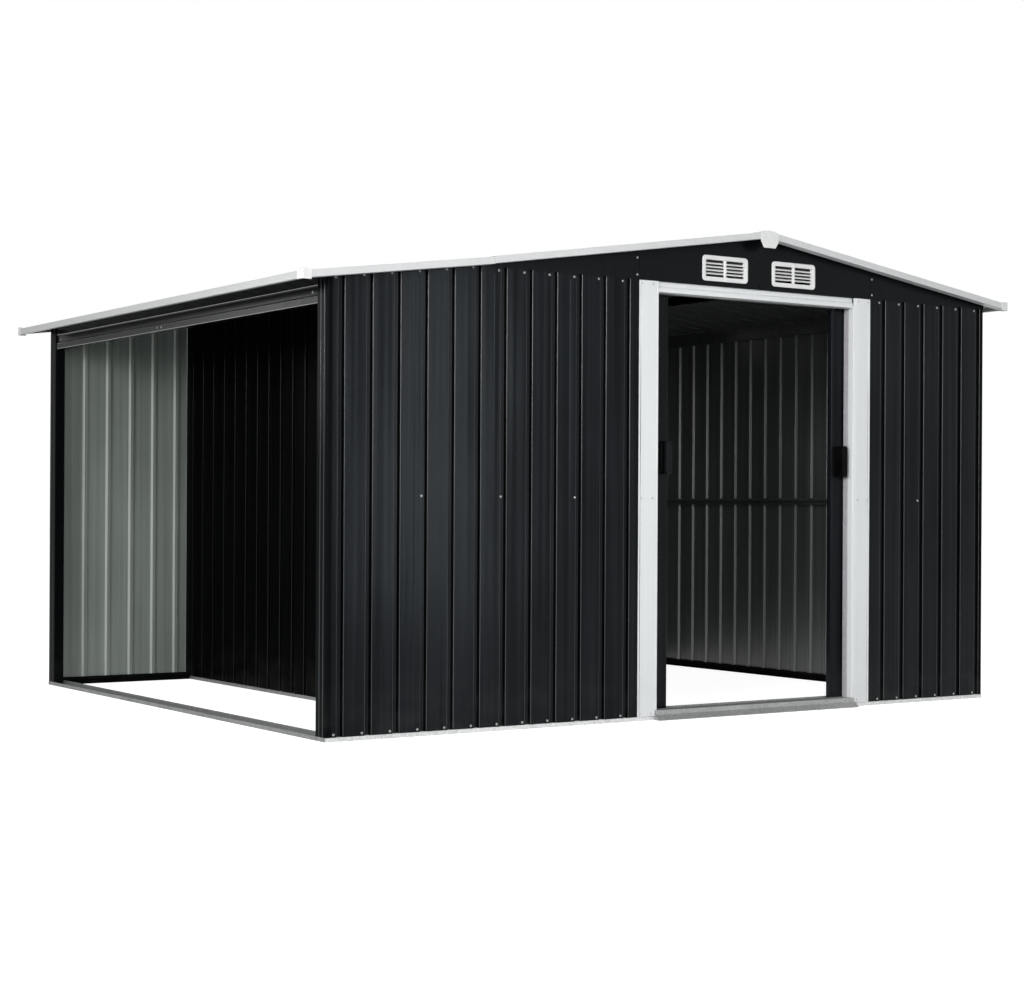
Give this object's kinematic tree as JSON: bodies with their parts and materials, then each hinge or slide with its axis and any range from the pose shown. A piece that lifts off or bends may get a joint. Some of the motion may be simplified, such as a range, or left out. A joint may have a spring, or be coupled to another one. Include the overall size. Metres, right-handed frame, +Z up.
{
  "type": "metal storage shed",
  "caption": "Ribbed sheet-steel garden shed with a low gable roof, sliding double doors, louvred gable vents and an open-sided lean-to under its own roof slope.",
  "frame": {"origin": "middle of the footprint box at ground level", "axes": "+X along the front to the right, +Y from the front to the back, +Z up"},
  "size_m": [3.279, 2.626, 1.8266],
  "materials": {
    "anthracite_sheet": "semi-gloss anthracite paint on thin ribbed steel sheet",
    "anthracite_frame": "semi-gloss anthracite paint on folded steel profiles",
    "galvanised_steel": "bright zinc coating on folded steel",
    "white_trim": "white painted folded steel",
    "white_plastic": "white moulded plastic",
    "black_plastic": "black moulded plastic with a soft shine"
  },
  "bodies": {
    "shed": {"base_rail_front": "galvanised_steel", "base_rail_back": "galvanised_steel", "base_rail_right": "galvanised_steel", "lean_to_sill": "galvanised_steel", "divider_base_rail": "galvanised_steel", "door_threshold": "galvanised_steel", "door_track_bottom": "galvanised_steel", "door_posts": "galvanised_steel", "door_track_top": "galvanised_steel", "front_wall_lean_to": "anthracite_sheet", "front_wall_left": "anthracite_sheet", "front_wall_right": "anthracite_sheet", "right_wall": "anthracite_sheet", "back_wall": "anthracite_sheet", "back_wall_lean_to": "anthracite_sheet", "divider_wall": "anthracite_sheet", "front_gable": "anthracite_sheet", "back_gable": "anthracite_sheet", "roof_left": "anthracite_sheet", "roof_right": "anthracite_sheet", "lean_to_roof": "anthracite_sheet", "divider_posts": "anthracite_frame", "lean_to_post_front": "anthracite_frame", "lean_to_post_back": "anthracite_frame", "corner_post_front": "anthracite_frame", "corner_post_back": "anthracite_frame", "top_rail_front": "anthracite_frame", "top_rail_back": "anthracite_frame", "top_rail_right": "anthracite_frame", "top_rail_divider": "anthracite_frame", "mid_rails": "anthracite_frame", "lean_to_beam": "anthracite_frame", "lean_to_ledger": "anthracite_frame", "lean_to_end_rails": "anthracite_frame", "ridge_beam": "anthracite_frame", "roof_purlins": "anthracite_frame", "door_jamb_left": "white_trim", "door_jamb_right": "white_trim", "door_header": "white_trim", "ridge_cap": "white_trim", "roof_trim_front": "white_trim", "roof_trim_back": "white_trim", "roof_trim_eaves": "white_trim", "front_vents": "white_plastic", "back_vents": "white_plastic", "ridge_end_caps": "white_plastic", "roof_corner_caps": "white_plastic"},
    "left_door": {"left_door_rails": "galvanised_steel", "left_door_panel": "anthracite_sheet", "left_door_handle": "black_plastic", "left_door_glides": "black_plastic"},
    "right_door": {"right_door_rails": "galvanised_steel", "right_door_panel": "anthracite_sheet", "right_door_handle": "black_plastic", "right_door_glides": "black_plastic"}
  },
  "joints": [
    {"name": "left_door_slide", "type": "slide", "parent": "shed", "child": "left_door", "axis": [1, 0, 0], "range_m": [0, 0.3885]},
    {"name": "right_door_slide", "type": "slide", "parent": "shed", "child": "right_door", "axis": [-1, 0, 0], "range_m": [0, 0.4225]}
  ]
}
